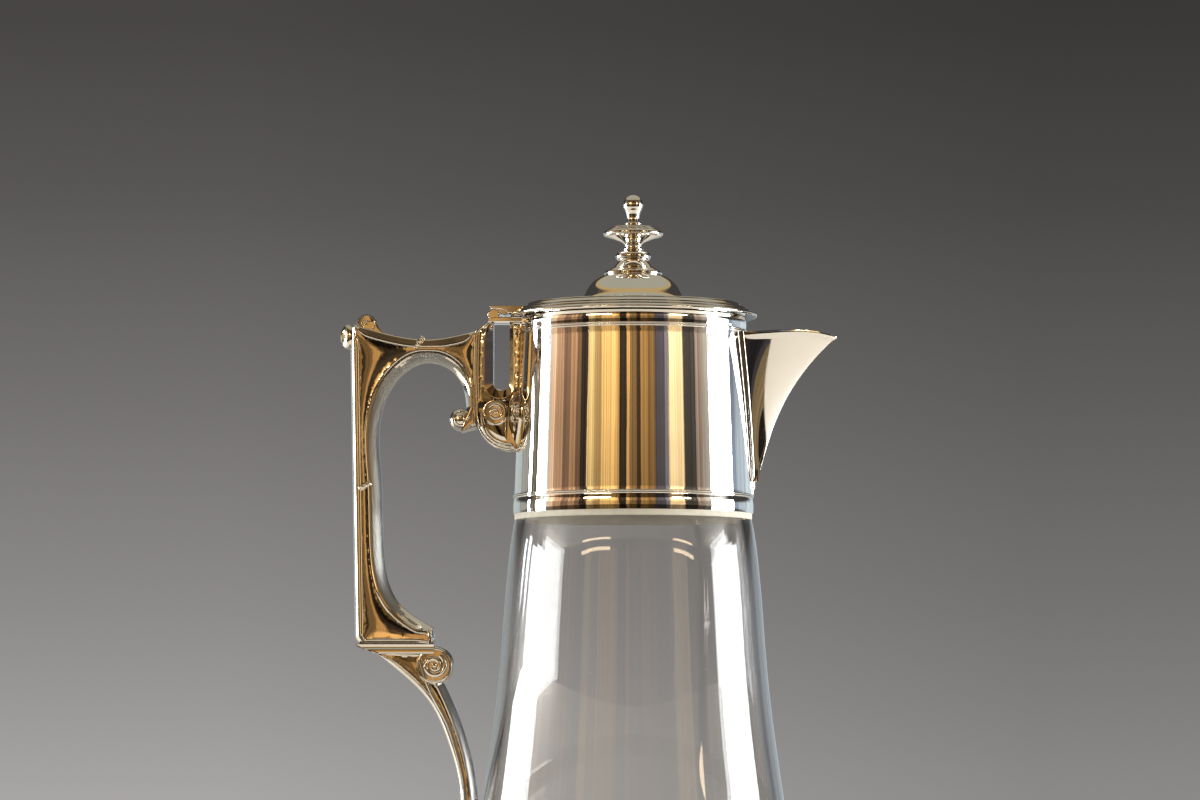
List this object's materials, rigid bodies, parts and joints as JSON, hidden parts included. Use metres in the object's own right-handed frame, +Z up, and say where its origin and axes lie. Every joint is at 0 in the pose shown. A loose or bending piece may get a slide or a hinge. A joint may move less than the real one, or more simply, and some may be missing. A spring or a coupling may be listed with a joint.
{
  "type": "claret jug",
  "caption": "Tall glass claret jug with a silver-plated collar, beak spout, scrolled side handle and a hinged domed lid with a turned finial.",
  "frame": {"origin": "centre of the foot ring, on the surface the jug stands on", "axes": "+Z up, +X toward the spout, -X toward the handle"},
  "size_m": [0.1507, 0.112, 0.28],
  "materials": {
    "silver_plate": "polished, lightly worn",
    "clear_glass": "clear, polished",
    "cream_plaster": "matte",
    "fixing_brass": "dull"
  },
  "bodies": {
    "jug": {"glass_body": "clear_glass", "neck_cement": "cream_plaster", "collar_sleeve": "silver_plate", "collar_seat_ring": "silver_plate", "upper_reed": "silver_plate", "lower_reed": "silver_plate", "spout_beak": "silver_plate", "spout_flange": "silver_plate", "hinge_base": "silver_plate", "hinge_pin": "silver_plate", "collar_pad": "silver_plate", "handle_stirrup": "silver_plate", "handle_frame": "silver_plate", "handle_ties": "silver_plate", "handle_tail": "silver_plate", "girdle_band": "silver_plate", "tail_saddle": "silver_plate"},
    "lid": {"lid_plate": "silver_plate", "lid_bezel": "silver_plate", "lid_boss": "silver_plate", "lid_leaf": "silver_plate", "finial_foot": "silver_plate", "finial_saucer": "silver_plate", "finial_knop": "silver_plate", "finial_stud": "fixing_brass", "finial_washer": "fixing_brass", "finial_nut": "fixing_brass"}
  },
  "joints": [
    {"name": "lid_hinge", "type": "hinge", "parent": "jug", "child": "lid", "pos_m": [-0.0418, 0, 0.2434], "axis": [0, -1, 0], "range_deg": [0, 96]}
  ]
}
